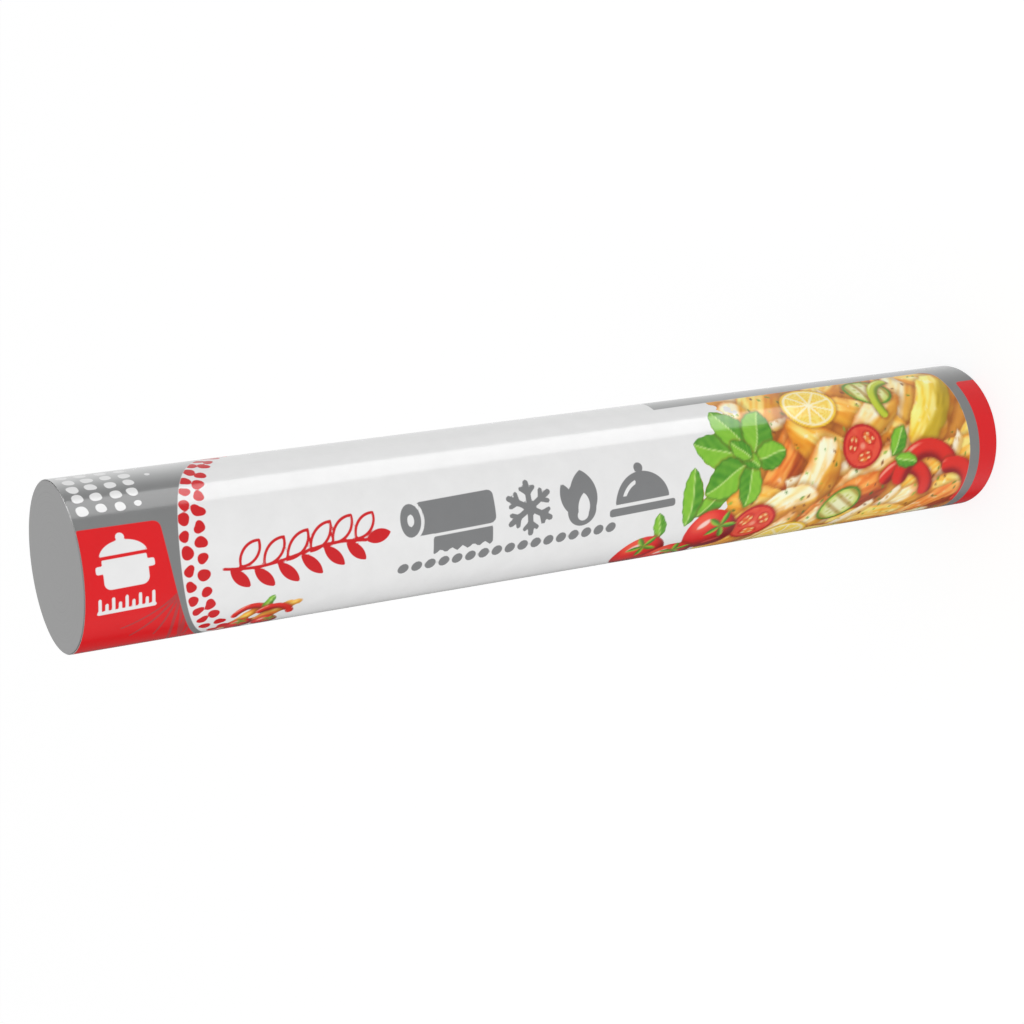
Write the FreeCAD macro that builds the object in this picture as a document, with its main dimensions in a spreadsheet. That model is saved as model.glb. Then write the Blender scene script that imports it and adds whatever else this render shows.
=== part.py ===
"""A kitchen roll of aluminium foil in its printed paper wrapper, standing on one end.

The part has two pieces. The wound foil is one solid cylinder with flat ends. The wrapper is one
sheet of printed paper laid once round the roll and glued where it laps over its own first edge.
The roll's axis is +Z, the origin is at the middle of the lower end, the print's middle faces -Y
and the lap is on the back, beside +Y. All sizes are in millimetres.
"""
import FreeCAD, Part
import math
import os

import Sketcher

FOLDER = "parts"

# Driving sizes: name, value, what it measures
SIZES = (
    ("roll_length", 300.0, "width of the foil, which is the length of the roll"),
    ("foil_diameter", 45.1, "outside diameter of the wound foil"),
    ("wrapper_thickness", 0.12, "thickness of the printed paper"),
    ("wrapper_clearance", 0.1, "slack between the foil and the paper, on the radius"),
    ("wrapper_setback", 0.25, "how far the paper's edge stays inside each end of the foil"),
    ("lap_width", 10.0, "how far the paper runs over its own first edge, along the arc"),
)


def make_sheet(doc):
    """Writes the driving sizes into a spreadsheet, one named cell each."""
    sheet = doc.addObject("Spreadsheet::Sheet", "sizes")
    for row, (name, value, meaning) in enumerate(SIZES, start=1):
        sheet.set(f"A{row}", name)
        sheet.set(f"B{row}", str(value))
        sheet.set(f"C{row}", meaning)
        sheet.setAlias(f"B{row}", name)
    doc.recompute()
    return sheet


def base_plane(body, role):
    """Returns one of the body's own origin planes."""
    return next(plane for plane in body.Origin.OriginFeatures if plane.Role == role)


def sketch_on_floor(body, name):
    """Starts a sketch on the body's own horizontal plane."""
    sketch = body.newObject("Sketcher::SketchObject", name)
    sketch.AttachmentSupport = (base_plane(body, "XY_Plane"), [""])
    sketch.MapMode = "FlatFace"
    return sketch


def bound(sketch, constraint, name, formula):
    """Adds a dimension to a sketch, names it and ties it to the spreadsheet."""
    index = sketch.addConstraint(constraint)
    sketch.renameConstraint(index, name)
    sketch.setExpression(f"Constraints.{name}", formula)


def point_at(radius, angle):
    """The point at a radius and an angle in radians from +X, counted towards +Y."""
    return FreeCAD.Vector(radius * math.cos(angle), radius * math.sin(angle), 0)


def arc_between(radius, start, end):
    """An arc about the roll's axis from one angle up to a larger one."""
    circle = Part.Circle(FreeCAD.Vector(0, 0, 0), FreeCAD.Vector(0, 0, 1), radius)
    return Part.ArcOfCircle(circle, start, end)


def make_foil_roll(doc):
    """The wound foil: its turns are pressed together, so they are one solid with plain ends."""
    body = doc.addObject("PartDesign::Body", "foil_roll")
    section = sketch_on_floor(body, "wound_section")
    outline = section.addGeometry(Part.Circle(FreeCAD.Vector(0, 0, 0), FreeCAD.Vector(0, 0, 1), 20.0))
    section.addConstraint(Sketcher.Constraint("Coincident", outline, 3, -1, 1))
    diameter = Sketcher.Constraint("Diameter", outline, 40.0)
    bound(section, diameter, "foil_diameter", "sizes.foil_diameter")
    turns = body.newObject("PartDesign::Pad", "turns")
    turns.Profile = section
    turns.setExpression("Length", "sizes.roll_length")
    return body


def draw_lapped_section(sheet, section):
    """Draws the paper's section, one turn with a lap.

    The sheet starts at an edge on the +Y axis, goes once round the foil, leaves the round in a
    straight line that is tangent to it, because the paper is pulled tight, passes over the corner
    of its first edge and lies glued on its own outside for the width of the lap.
    """
    inner_radius = sheet.foil_diameter / 2 + sheet.wrapper_clearance
    outer_radius = inner_radius + sheet.wrapper_thickness
    lap_radius = outer_radius + sheet.wrapper_thickness
    first_edge = math.pi / 2
    free_edge = first_edge + sheet.lap_width / lap_radius
    inner_lift = first_edge - math.acos(inner_radius / outer_radius)
    outer_lift = first_edge - math.acos(outer_radius / lap_radius)
    turn = 2 * math.pi

    inside = section.addGeometry(arc_between(inner_radius, first_edge, inner_lift + turn))
    edge_face = section.addGeometry(
        Part.LineSegment(point_at(inner_radius, first_edge), point_at(outer_radius, first_edge))
    )
    inner_climb = section.addGeometry(
        Part.LineSegment(point_at(inner_radius, inner_lift), point_at(outer_radius, first_edge))
    )
    outside = section.addGeometry(arc_between(outer_radius, free_edge, outer_lift + turn))
    outer_climb = section.addGeometry(
        Part.LineSegment(point_at(outer_radius, outer_lift), point_at(lap_radius, first_edge))
    )
    lap = section.addGeometry(arc_between(lap_radius, first_edge, free_edge))
    free_face = section.addGeometry(
        Part.LineSegment(point_at(outer_radius, free_edge), point_at(lap_radius, free_edge))
    )

    start, end, centre = 1, 2, 3
    origin, y_axis = -1, -2
    for arc in (inside, outside, lap):
        section.addConstraint(Sketcher.Constraint("Coincident", arc, centre, origin, 1))
    joined = (
        (inside, start, edge_face, start),
        (edge_face, end, inner_climb, end),
        (outer_climb, end, lap, start),
        (lap, end, free_face, end),
        (outside, start, free_face, start),
    )
    for first, first_point, second, second_point in joined:
        section.addConstraint(Sketcher.Constraint("Coincident", first, first_point, second, second_point))
    section.addConstraint(Sketcher.Constraint("Tangent", inside, end, inner_climb, start))
    section.addConstraint(Sketcher.Constraint("Tangent", outside, end, outer_climb, start))
    section.addConstraint(Sketcher.Constraint("PointOnObject", edge_face, start, y_axis))
    section.addConstraint(Sketcher.Constraint("PointOnObject", edge_face, end, y_axis))
    section.addConstraint(Sketcher.Constraint("PointOnObject", lap, start, y_axis))
    section.addConstraint(Sketcher.Constraint("PointOnObject", origin, 1, free_face))

    inner = "sizes.foil_diameter / 2 + sizes.wrapper_clearance"
    outer = f"{inner} + sizes.wrapper_thickness"
    lapped = f"{outer} + sizes.wrapper_thickness"
    bound(section, Sketcher.Constraint("Radius", inside, inner_radius), "inner_radius", inner)
    bound(section, Sketcher.Constraint("Radius", outside, outer_radius), "outer_radius", outer)
    bound(section, Sketcher.Constraint("Radius", lap, lap_radius), "lap_radius", lapped)
    edge_height = Sketcher.Constraint("Distance", edge_face, sheet.wrapper_thickness)
    bound(section, edge_height, "edge_height", "sizes.wrapper_thickness")
    lap_angle = Sketcher.Constraint("Angle", free_face, free_edge)
    bound(section, lap_angle, "lap_angle", f"90deg + 180deg / pi * sizes.lap_width / ({lapped})")


def make_printed_wrapper(doc, sheet):
    """The printed paper, set back a little from both ends of the foil."""
    body = doc.addObject("PartDesign::Body", "printed_wrapper")
    body.setExpression("Placement.Base.z", "sizes.wrapper_setback")
    section = sketch_on_floor(body, "sheet_section")
    draw_lapped_section(sheet, section)
    paper = body.newObject("PartDesign::Pad", "paper")
    paper.Profile = section
    paper.setExpression("Length", "sizes.roll_length - 2 * sizes.wrapper_setback")
    return body


def check(doc, bodies):
    """Stops the script if a feature failed or a piece isn't one valid solid."""
    for item in doc.Objects:
        if "Invalid" in item.State or "Error" in item.State:
            raise RuntimeError(f"{item.Label} failed: {item.State}")
    for body in bodies:
        shape = body.Shape
        if shape.isNull() or not shape.isValid() or len(shape.Solids) != 1:
            raise RuntimeError(f"{body.Label} is not one valid solid")
        print(body.Label, "volume", round(shape.Volume, 1), "box", shape.BoundBox)


def main():
    """Builds the document and writes one STEP file for each piece."""
    doc = FreeCAD.newDocument("foil_roll_in_wrapper")
    sheet = make_sheet(doc)
    bodies = [make_foil_roll(doc), make_printed_wrapper(doc, sheet)]
    doc.recompute()
    check(doc, bodies)
    os.makedirs(FOLDER, exist_ok=True)
    for body in bodies:
        body.Shape.exportStep(os.path.join(FOLDER, f"{body.Label}.step"))


main()
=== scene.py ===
"""Looks of a kitchen roll of aluminium foil in its printed paper wrapper, standing on one end.

The roll's axis is +Z, the middle of the print faces -Y and the paper's lap is on the back. A place on
the print is given in millimetres, as on the flat sheet before it is wrapped: x runs along the roll from
its upper end, and y runs round it from the middle of the print towards +X. Each ink is a field of signed
distances, below zero where the ink lies, worked out by formula at the vertices of the paper's mesh.
"""

import logging
import math
from dataclasses import dataclass, field
from enum import Enum

import bpy
import numpy as np
from mathutils import Matrix, Vector
from numpy.typing import NDArray


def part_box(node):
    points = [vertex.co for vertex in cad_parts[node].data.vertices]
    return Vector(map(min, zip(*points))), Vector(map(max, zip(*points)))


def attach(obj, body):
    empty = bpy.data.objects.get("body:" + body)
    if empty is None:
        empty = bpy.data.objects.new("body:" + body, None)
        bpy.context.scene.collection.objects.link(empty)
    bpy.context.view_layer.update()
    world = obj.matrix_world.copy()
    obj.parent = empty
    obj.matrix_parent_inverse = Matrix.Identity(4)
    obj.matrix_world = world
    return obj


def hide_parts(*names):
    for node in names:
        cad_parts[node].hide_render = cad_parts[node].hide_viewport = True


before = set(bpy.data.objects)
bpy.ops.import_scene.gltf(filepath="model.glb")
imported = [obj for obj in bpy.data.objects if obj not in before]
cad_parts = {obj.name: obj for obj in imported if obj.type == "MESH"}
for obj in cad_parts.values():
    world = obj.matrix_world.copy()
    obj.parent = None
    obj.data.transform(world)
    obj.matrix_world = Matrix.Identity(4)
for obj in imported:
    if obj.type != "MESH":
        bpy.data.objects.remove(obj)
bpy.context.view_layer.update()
LOG = logging.getLogger("foil_roll_scene")

MM = 0.001
SEED = 20
PICTURE_LIGHT = (-0.38, 0.55, 0.74)

Field = NDArray[np.float64]
Indices = NDArray[np.intp]
Point = tuple[float, float]
Pair = tuple[float, float]


def srgb(colour: str) -> Field:
    """The red, green and blue of an sRGB hex colour, each from 0 to 1."""
    return np.array([int(colour[i : i + 2], 16) for i in (1, 3, 5)]) / 255.0


def linear(colour: str | Field) -> Field:
    """Turns an sRGB colour, or rows of them, into linear light by the sRGB curve.

    Args:
        colour: a hex string, or an array of values from 0 to 1.

    Returns:
        The same colour or colours in linear light.
    """
    values = srgb(colour) if isinstance(colour, str) else np.asarray(colour)
    return np.where(values <= 0.04045, values / 12.92, ((np.maximum(values, 0.0) + 0.055) / 1.055) ** 2.4)


def rgba(colour: str) -> tuple[float, float, float, float]:
    """A hex colour as Blender's linear colour with full alpha."""
    return (*(float(v) for v in linear(colour)), 1.0)


def smoothstep(low: float, high: float, values: Field) -> Field:
    """Goes from 0 at low to 1 at high along 3u^2 - 2u^3, and falls where low is the greater."""
    u = np.clip((values - low) / (high - low), 0.0, 1.0)
    return u * u * (3.0 - 2.0 * u)


def blend(first: str | Field, second: str | Field, share: Field) -> Field:
    """Mixes two sRGB colours, the share being how much of the second there is at each place."""
    start, end = (srgb(colour) if isinstance(colour, str) else colour for colour in (first, second))
    return start + (end - start) * share[:, None]


def smooth_max(first: Field, second: Field, radius: float) -> Field:
    """The greater of two distances, with the corner between their edges rounded to a radius."""
    u = np.maximum(radius - np.abs(first - second), 0.0)
    return np.maximum(first, second) + u * u / (4.0 * radius)


@dataclass(frozen=True)
class Plane:
    """Places on the flat print, in millimetres, and the distances from them to simple shapes."""

    x: Field
    y: Field
    turn: float = 0.0

    def about(self, centre: Point, turn: float = 0.0) -> "Plane":
        """The same places seen from a centre, with the x axis turned by an angle in degrees.

        Args:
            centre: the new centre.
            turn: the angle in degrees.

        Returns:
            The moved and turned plane.
        """
        angle = math.radians(turn)
        x = self.x - centre[0]
        y = self.y - centre[1]
        along = x * math.cos(angle) + y * math.sin(angle)
        across = y * math.cos(angle) - x * math.sin(angle)
        return Plane(along, across, self.turn + turn)

    def nothing(self) -> Field:
        """The distance to a shape that isn't there yet: a metre everywhere."""
        return np.full(len(self.x), 1000.0)

    def disc(self, radius: float) -> Field:
        """Distance to a disc: the length from the centre less the radius."""
        return np.hypot(self.x, self.y) - radius

    def oval(self, half_width: float, half_height: float) -> Field:
        """Distance to an ellipse: k (k - 1) over the slope of k, where k is 1 on the ellipse.

        Args:
            half_width: half its size along x.
            half_height: half its size along y.

        Returns:
            Distances in mm, true near the ellipse and rough far from it.
        """
        k = np.hypot(self.x / half_width, self.y / half_height)
        slope = np.hypot(self.x / half_width**2, self.y / half_height**2)
        return k * (k - 1.0) / np.maximum(slope, 1e-6)

    def box(self, half_width: float, half_height: float, corner: float = 0.0) -> Field:
        """Distance to a rectangle with rounded corners.

        Args:
            half_width: half its size along x.
            half_height: half its size along y.
            corner: the corners' radius.

        Returns:
            Distances in mm.
        """
        dx = np.abs(self.x) - half_width + corner
        dy = np.abs(self.y) - half_height + corner
        outside = np.hypot(np.maximum(dx, 0.0), np.maximum(dy, 0.0))
        return outside + np.minimum(np.maximum(dx, dy), 0.0) - corner

    def bar(self, length: float, half_thickness: float) -> Field:
        """Distance to a round-ended bar that runs from the centre along +x."""
        beyond = self.x - np.clip(self.x, 0.0, length)
        return np.hypot(beyond, self.y) - half_thickness

    def leaf(self, length: float, half_width: float) -> Field:
        """Distance to a pointed leaf from the centre along +x: where two equal discs overlap.

        Args:
            length: from its stalk's end to its tip.
            half_width: half its greatest width.

        Returns:
            Distances in mm.
        """
        radius = (length * length / 4.0 + half_width * half_width) / (2.0 * half_width)
        x = self.x - length / 2.0
        return np.hypot(x, np.abs(self.y) + radius - half_width) - radius

    def blob(self, radius: float, uneven: tuple[float, float, float]) -> Field:
        """Distance to a hand-cut dot: a disc whose radius swings two and three times round.

        Args:
            radius: its mean radius.
            uneven: how much the radius swings, and where its two swings start.

        Returns:
            Distances in mm.
        """
        amount, first, second = uneven
        angle = np.arctan2(self.y, self.x)
        swing = np.sin(2.0 * angle + first) + 0.7 * np.sin(3.0 * angle + second)
        return np.hypot(self.x, self.y) - radius * (1.0 + amount * swing)


def joined(*shapes: Field) -> Field:
    """The distance to the nearest of several shapes."""
    return np.minimum.reduce(shapes)


def value_noise(x: Field, y: Field, cell: float, seed: int) -> Field:
    """Smooth noise from 0 to 1: random values on a square lattice, joined by smoothstep.

    Args:
        x: places along the sheet in mm.
        y: places round the sheet in mm.
        cell: the lattice's spacing in mm.
        seed: what the lattice's values are drawn from.

    Returns:
        One value for each place.
    """
    side = 512
    lattice = np.random.default_rng(seed).random((side, side))
    u = x / cell
    v = y / cell
    column = np.floor(u).astype(int)
    row = np.floor(v).astype(int)
    across = smoothstep(0.0, 1.0, u - column)
    up = smoothstep(0.0, 1.0, v - row)
    left, right = column % side, (column + 1) % side
    near, far = (
        lattice[r % side, left] * (1 - across) + lattice[r % side, right] * across for r in (row, row + 1)
    )
    return near * (1 - up) + far * up


def layered_noise(x: Field, y: Field, cell: float, seed: int, layers: int = 3) -> Field:
    """Adds finer and fainter noise, each layer half as coarse and half as strong as the last.

    Args:
        x: places along the sheet in mm.
        y: places round the sheet in mm.
        cell: the first layer's spacing in mm.
        seed: the first layer's seed.
        layers: how many layers there are.

    Returns:
        Values from 0 to 1.
    """
    total = np.zeros_like(x)
    weight = 0.0
    for layer in range(layers):
        share = 0.5**layer
        total += share * value_noise(x + 37.0 * layer, y - 11.0 * layer, cell * share, seed + layer)
        weight += share
    return total / weight


@dataclass
class Canvas:
    """The printed picture while it is painted: a colour and a distance to the paint at each place."""

    plane: Plane
    colour: Field = field(init=False)
    cover: Field = field(init=False)
    grain: Field = field(init=False)
    cloud: Field = field(init=False)

    def __post_init__(self) -> None:
        """Starts with bare paper, and works out the noise that browns and mottles the motifs."""
        self.colour = np.tile(srgb("#EFEFEF"), (len(self.plane.x), 1))
        self.cover = self.plane.nothing()
        self.grain = layered_noise(self.plane.x, self.plane.y, 2.0, SEED)
        self.cloud = layered_noise(self.plane.x, self.plane.y, 9.0, SEED + 10)

    def window(self, centre: Point, reach: float, turn: float = 0.0) -> tuple[Indices, Plane]:
        """The places within reach of a centre, and those places seen from it.

        Args:
            centre: the middle of what is painted.
            reach: how far it goes from there, in mm.
            turn: the angle of its x axis in degrees.

        Returns:
            The places' indices, and the turned plane that holds only them.
        """
        close = np.abs(self.plane.x - centre[0]) < reach
        close &= np.abs(self.plane.y - centre[1]) < reach
        where = np.flatnonzero(close)
        return where, Plane(self.plane.x[where], self.plane.y[where]).about(centre, turn)

    def lay(
        self, where: Indices, distance: Field, colour: str | Field, soft: float = 0.3, strength: float = 1.0
    ) -> None:
        """Lays paint where a distance is below zero.

        Args:
            where: the places that may get paint.
            distance: the distance to the shape at each of them, in mm.
            colour: one hex colour, or a colour for each place.
            soft: half the width of the shape's soft edge, in mm.
            strength: how opaque the paint is. Only paint of full strength counts as cover.
        """
        weight = strength * smoothstep(soft, -soft, distance)
        self.colour[where] = blend(self.colour[where], colour, weight)
        if strength == 1.0:
            self.cover[where] = np.minimum(self.cover[where], distance)

    def shade(self, where: Indices, distance: Field, depth: float = 1.4, strength: float = 0.55) -> None:
        """Darkens what already lies round a shape, as the shape's own shadow does.

        Args:
            where: the places that may get darker.
            distance: the distance to the shape at each of them, in mm.
            depth: how far the shadow reaches, in mm.
            strength: how dark it is at the shape.
        """
        painted = smoothstep(0.4, -0.2, self.cover[where])
        weight = strength * painted * smoothstep(depth, -0.3 * depth, distance)
        self.colour[where] = blend(self.colour[where], "#7F3A0C", weight)


def lit(plane: Plane, nx: Field, ny: Field) -> Field:
    """How much light a domed shape gets: its slope set against the picture's own light.

    Args:
        plane: the shape's own plane, which says how far it is turned.
        nx: the outward direction's part along the shape.
        ny: the outward direction's part across it.

    Returns:
        Values from 0 in full shade to 1 in full light.
    """
    angle = math.radians(plane.turn)
    light_x = PICTURE_LIGHT[0] * math.cos(angle) + PICTURE_LIGHT[1] * math.sin(angle)
    light_y = PICTURE_LIGHT[1] * math.cos(angle) - PICTURE_LIGHT[0] * math.sin(angle)
    nz = np.sqrt(np.clip(1.0 - nx * nx - ny * ny, 0.0, 1.0))
    return np.clip(nx * light_x + ny * light_y + nz * PICTURE_LIGHT[2], 0.0, 1.0)


@dataclass(frozen=True)
class Motif:
    """One thing in the picture: where it lies, how long or wide it is in mm, and its angle."""

    centre: Point
    size: float
    turn: float = 0.0

    def paint(self, canvas: Canvas) -> None:
        """Paints the motif over what the canvas already shows."""
        raise NotImplementedError


class Crust(Enum):
    """The colours of a wedge: its skin side dark and light, then its cut face dark and light."""

    GOLDEN = ("#DF8214", "#F6B433", "#F3AE36", "#FFDD7E")
    CREAM = ("#E89A2C", "#F8C24C", "#F6D086", "#FFEFCC")
    LIME = ("#B89A12", "#DFBE2C", "#E9C433", "#FAE884")
    RUSSET = ("#9A3510", "#CF5F1C", "#DD6F24", "#F6A850")


@dataclass(frozen=True)
class PotatoWedge(Motif):
    """A roast potato wedge: a pale cut face over its skin side, browned along its edges."""

    width: float = 9.0
    bend: float = 0.0
    crust: Crust = Crust.GOLDEN

    def paint(self, canvas: Canvas) -> None:
        """The outline is |x/a|^2.8 + |y/b|^2 = 1, bent along a parabola, with a ridge between faces.

        Args:
            canvas: the picture so far, which gets this on top.
        """
        where, plane = canvas.window(self.centre, self.size * 0.75, self.turn)
        grain = canvas.grain[where]
        cloud = canvas.cloud[where]
        half = self.width / 2.0
        y = plane.y - self.bend * (plane.x / self.size) ** 2 * self.width
        k = (np.abs(2.0 * plane.x / self.size) ** 2.8 + np.abs(y / half) ** 2.0) ** 0.5
        distance = (k - 1.0) * half * 0.9 + (grain - 0.5) * 0.8
        canvas.shade(where, distance, 1.8, 0.42)
        light = lit(plane, 0.5 * plane.x / self.size, 0.75 * y / half)
        streak = value_noise(plane.x / 5.0, y * 1.1, 1.0, SEED + 21)
        ridge = smoothstep(-0.9, 0.9, y + 0.08 * self.width + (cloud - 0.5) * 4.0)
        dark_skin, light_skin, dark_face, light_face = self.crust.value
        skin = blend(dark_skin, light_skin, streak)
        face = blend(dark_face, light_face, smoothstep(0.2, 0.8, 0.6 * streak + 0.4 * cloud))
        face = blend(skin, face, ridge)
        face = blend(face, "#FFFBF0", smoothstep(0.62, 0.85, grain) * ridge * 0.5)
        brown = np.clip(np.exp(distance / 0.8) * 0.75 + (0.38 - cloud) * 2.2, 0.0, 0.9)
        toasted = blend("#A9480F", "#DA8020", grain)
        face = blend(face, toasted, brown * smoothstep(0.2, 0.6, grain + 0.15))
        face = face * (0.84 + 0.26 * light)[:, None]
        canvas.lay(where, distance, np.clip(face, 0.0, 1.0))


@dataclass(frozen=True)
class MeltedCheese(Motif):
    """A ribbon of melted cheese across the dish: uneven edges, a soft gleam and toasted freckles."""

    width: float = 4.5
    bend: float = 1.0

    def paint(self, canvas: Canvas) -> None:
        """A bar whose middle line is a sine and whose width wanders with the noise.

        Args:
            canvas: the picture so far, which gets this on top.
        """
        where, plane = canvas.window(self.centre, self.size * 0.6, self.turn)
        grain = canvas.grain[where]
        u = plane.x / self.size
        y = plane.y - self.bend * 3.0 * np.sin(u * 5.0 + self.turn)
        half = self.width / 2.0 * (1.0 - 1.6 * u**2) + 2.6 * (canvas.cloud[where] - 0.5)
        distance = np.maximum(np.abs(y) - half, np.abs(plane.x) - self.size / 2.0) + (grain - 0.5) * 1.2
        canvas.shade(where, distance, 1.2, 0.35)
        light = lit(plane, np.zeros_like(u), np.clip(0.8 * y / np.maximum(half, 0.5), -0.95, 0.95))
        face = blend("#EBC06C", "#FFF3D6", smoothstep(0.3, 0.95, light))
        face = blend(face, "#C7832C", smoothstep(0.34, 0.2, grain) * 0.75)
        canvas.lay(where, distance, face, soft=0.5)


@dataclass(frozen=True)
class RoundSlice(Motif):
    """A round slice that lies tilted, so that it is seen as an ellipse."""

    squash: float = 1.0

    def face(self, canvas: Canvas) -> tuple[Indices, Plane, float]:
        """The slice's face as if seen from straight above.

        Args:
            canvas: the picture that the slice lies in.

        Returns:
            The places near the slice, those places on its round face, and its radius in mm.
        """
        where, seen = canvas.window(self.centre, self.size, self.turn)
        return where, Plane(seen.x, seen.y / self.squash, seen.turn), self.size / 2.0


@dataclass(frozen=True)
class LemonSlice(RoundSlice):
    """A slice of lemon: yellow rind, cream pith and nine juicy segments with fine streaks."""

    def paint(self, canvas: Canvas) -> None:
        """The segments are sectors of a disc, cut apart by thin spokes of pith.

        Args:
            canvas: the picture so far, which gets this on top.
        """
        where, plane, radius = self.face(canvas)
        distance = plane.disc(radius)
        canvas.shade(where, distance)
        r = np.hypot(plane.x, plane.y)
        angle = np.arctan2(plane.y, plane.x)
        sector = 2.0 * math.pi / 9.0
        spoke = np.abs((angle + sector / 2.0) % sector - sector / 2.0) * r
        streaks = 0.5 + 0.5 * np.sin(angle * 70.0 + 5.0 * canvas.grain[where])
        canvas.lay(where, distance, blend("#F3B91F", "#FFDF4A", canvas.grain[where]))
        canvas.lay(where, r - 0.91 * radius, "#FFF5CF", strength=0.98)
        flesh = blend("#F7C531", "#FFEB82", streaks * 0.6 + 0.4 * r / radius)
        inside = np.maximum(np.maximum(r - 0.83 * radius, 0.10 * radius - r), 0.35 - spoke)
        canvas.lay(where, inside, flesh, soft=0.25, strength=0.97)


@dataclass(frozen=True)
class CourgetteSlice(RoundSlice):
    """A grilled slice of courgette: dark green skin, pale flesh with seeds, and brown grill marks."""

    squash: float = 0.72

    def paint(self, canvas: Canvas) -> None:
        """The skin is the rim of an ellipse, and the seeds lie on a ring at half its width.

        Args:
            canvas: the picture so far, which gets this on top.
        """
        where, plane, radius = self.face(canvas)
        r = np.hypot(plane.x, plane.y)
        canvas.shade(where, r - radius)
        rim = blend("#2F6B14", "#6FA82C", canvas.grain[where])
        canvas.lay(where, r - radius, rim)
        flesh = blend("#F4F2C4", "#C9D65E", smoothstep(0.45, 0.95, r / radius))
        canvas.lay(where, r - 0.89 * radius, flesh, strength=0.97)
        angle = np.arctan2(plane.y, plane.x)
        seeds = np.hypot((r - 0.52 * radius) / 1.1, r * np.sin(5.0 * angle) / 5.0) - 0.62
        canvas.lay(where, seeds, "#B9BF55", soft=0.4, strength=0.75)
        marks = np.abs((plane.x + plane.y * self.squash * 0.4) % 4.6 - 2.3) - 0.75
        charred = np.maximum(marks, r - 0.9 * radius)
        canvas.lay(where, charred, "#9A6A1E", soft=0.5, strength=0.55)


@dataclass(frozen=True)
class Tomato(Motif):
    """A whole cherry tomato with a window's gleam and a small green star where it left the vine."""

    def paint(self, canvas: Canvas) -> None:
        """A dome shaded by its slope, with a pale streak where it shines and five pointed sepals.

        Args:
            canvas: the picture so far, which gets this on top.
        """
        where, plane = canvas.window(self.centre, self.size, self.turn)
        radius = self.size / 2.0
        distance = plane.oval(radius, radius * 0.94)
        canvas.shade(where, distance)
        light = lit(plane, plane.x / radius, plane.y / radius)
        skin = blend("#7E0A10", "#E1201E", smoothstep(0.05, 0.75, light))
        skin = blend(skin, "#F4553C", smoothstep(0.75, 1.0, light))
        canvas.lay(where, distance, skin)
        upright = plane.about((0.0, 0.0), -self.turn)
        gleam = upright.about((-0.34 * radius, 0.42 * radius), 38.0).oval(0.26 * radius, 0.11 * radius)
        canvas.lay(where, gleam, "#FFE3DA", soft=0.45, strength=0.9)
        lower = upright.about((0.30 * radius, -0.5 * radius), 20.0).oval(0.32 * radius, 0.08 * radius)
        canvas.lay(where, lower, "#F2685A", soft=0.6, strength=0.55)
        for sepal in range(5):
            star = plane.about((0.25 * radius, 0.35 * radius), 72.0 * sepal + 20.0)
            green = blend("#3E7F1C", "#8FC53A", smoothstep(-0.5, 0.5, star.y))
            canvas.lay(where, star.leaf(0.62 * radius, 0.11 * radius), green, soft=0.25, strength=0.98)


@dataclass(frozen=True)
class TomatoHalf(RoundSlice):
    """A tomato cut across: skin, red wall, and three chambers of jelly with pale seeds."""

    squash: float = 0.86

    def paint(self, canvas: Canvas) -> None:
        """The chambers are ovals set round the core at equal angles, each with its own seeds.

        Args:
            canvas: the picture so far, which gets this on top.
        """
        where, plane, radius = self.face(canvas)
        distance = plane.disc(radius)
        canvas.shade(where, distance)
        canvas.lay(where, distance, "#B80F16")
        wall = blend("#E23426", "#F06A4A", canvas.grain[where])
        canvas.lay(where, plane.disc(radius * 0.9), wall, strength=0.97)
        for chamber in range(3):
            cell = plane.about((0.0, 0.0), 120.0 * chamber + 15.0).about((0.48 * radius, 0.0))
            shape = cell.oval(0.27 * radius, 0.40 * radius)
            canvas.lay(where, shape, "#C21A14", soft=0.35, strength=0.95)
            jelly = smoothstep(0.35, 0.75, canvas.grain[where])
            inner = blend("#D9361A", "#F59A3A", jelly)
            canvas.lay(where, shape + 0.35, inner, soft=0.3, strength=0.9)
            for seed in range(4):
                angle = math.radians(90.0 * seed + 45.0)
                spot = cell.about((0.15 * radius * math.cos(angle), 0.24 * radius * math.sin(angle)))
                canvas.lay(where, spot.oval(0.42, 0.62), "#FBE3A2", soft=0.25, strength=0.9)
        canvas.lay(where, plane.disc(radius * 0.13), "#F6A488", soft=0.5, strength=0.85)


@dataclass(frozen=True)
class BasilLeaf(Motif):
    """A basil leaf, from its stalk at the centre: one half lighter, with a pale rib and side veins."""

    width: float = 8.0

    def paint(self, canvas: Canvas) -> None:
        """A pointed leaf shape; the veins are lines that leave the rib at a slant.

        Args:
            canvas: the picture so far, which gets this on top.
        """
        where, plane = canvas.window(self.centre, self.size * 1.1, self.turn)
        bulge = plane.y + 0.035 * self.width * np.sin(plane.x / self.size * 6.0)
        bent = Plane(plane.x, bulge, plane.turn)
        distance = bent.leaf(self.size, self.width / 2.0) + 0.12 * np.sin(plane.x * 2.1)
        canvas.shade(where, distance, depth=1.0, strength=0.4)
        half = smoothstep(-0.35, 0.35, bent.y)
        body = blend("#3F8B1B", "#79BC2C", half)
        pillow = 0.5 + 0.5 * np.cos((plane.x - np.abs(bent.y) * 0.9) / self.size * 32.0)
        body = blend(body, "#A9D94E", pillow * 0.16 + 0.35 * canvas.grain[where])
        body = blend(body, "#2B6512", smoothstep(-0.7, -0.1, distance) * 0.45)
        canvas.lay(where, distance, body)
        rib = np.maximum(np.abs(bent.y) - 0.22, distance + 0.5)
        canvas.lay(where, rib, "#D3EC96", soft=0.25, strength=0.8)


class PepperTone(Enum):
    """The colours of a strip of pepper: in shade, in light and where it shines."""

    RED = ("#8F0D0F", "#E0281C", "#FFB09A")
    LIME = ("#6E8A12", "#C4D232", "#F6FAB4")


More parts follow.
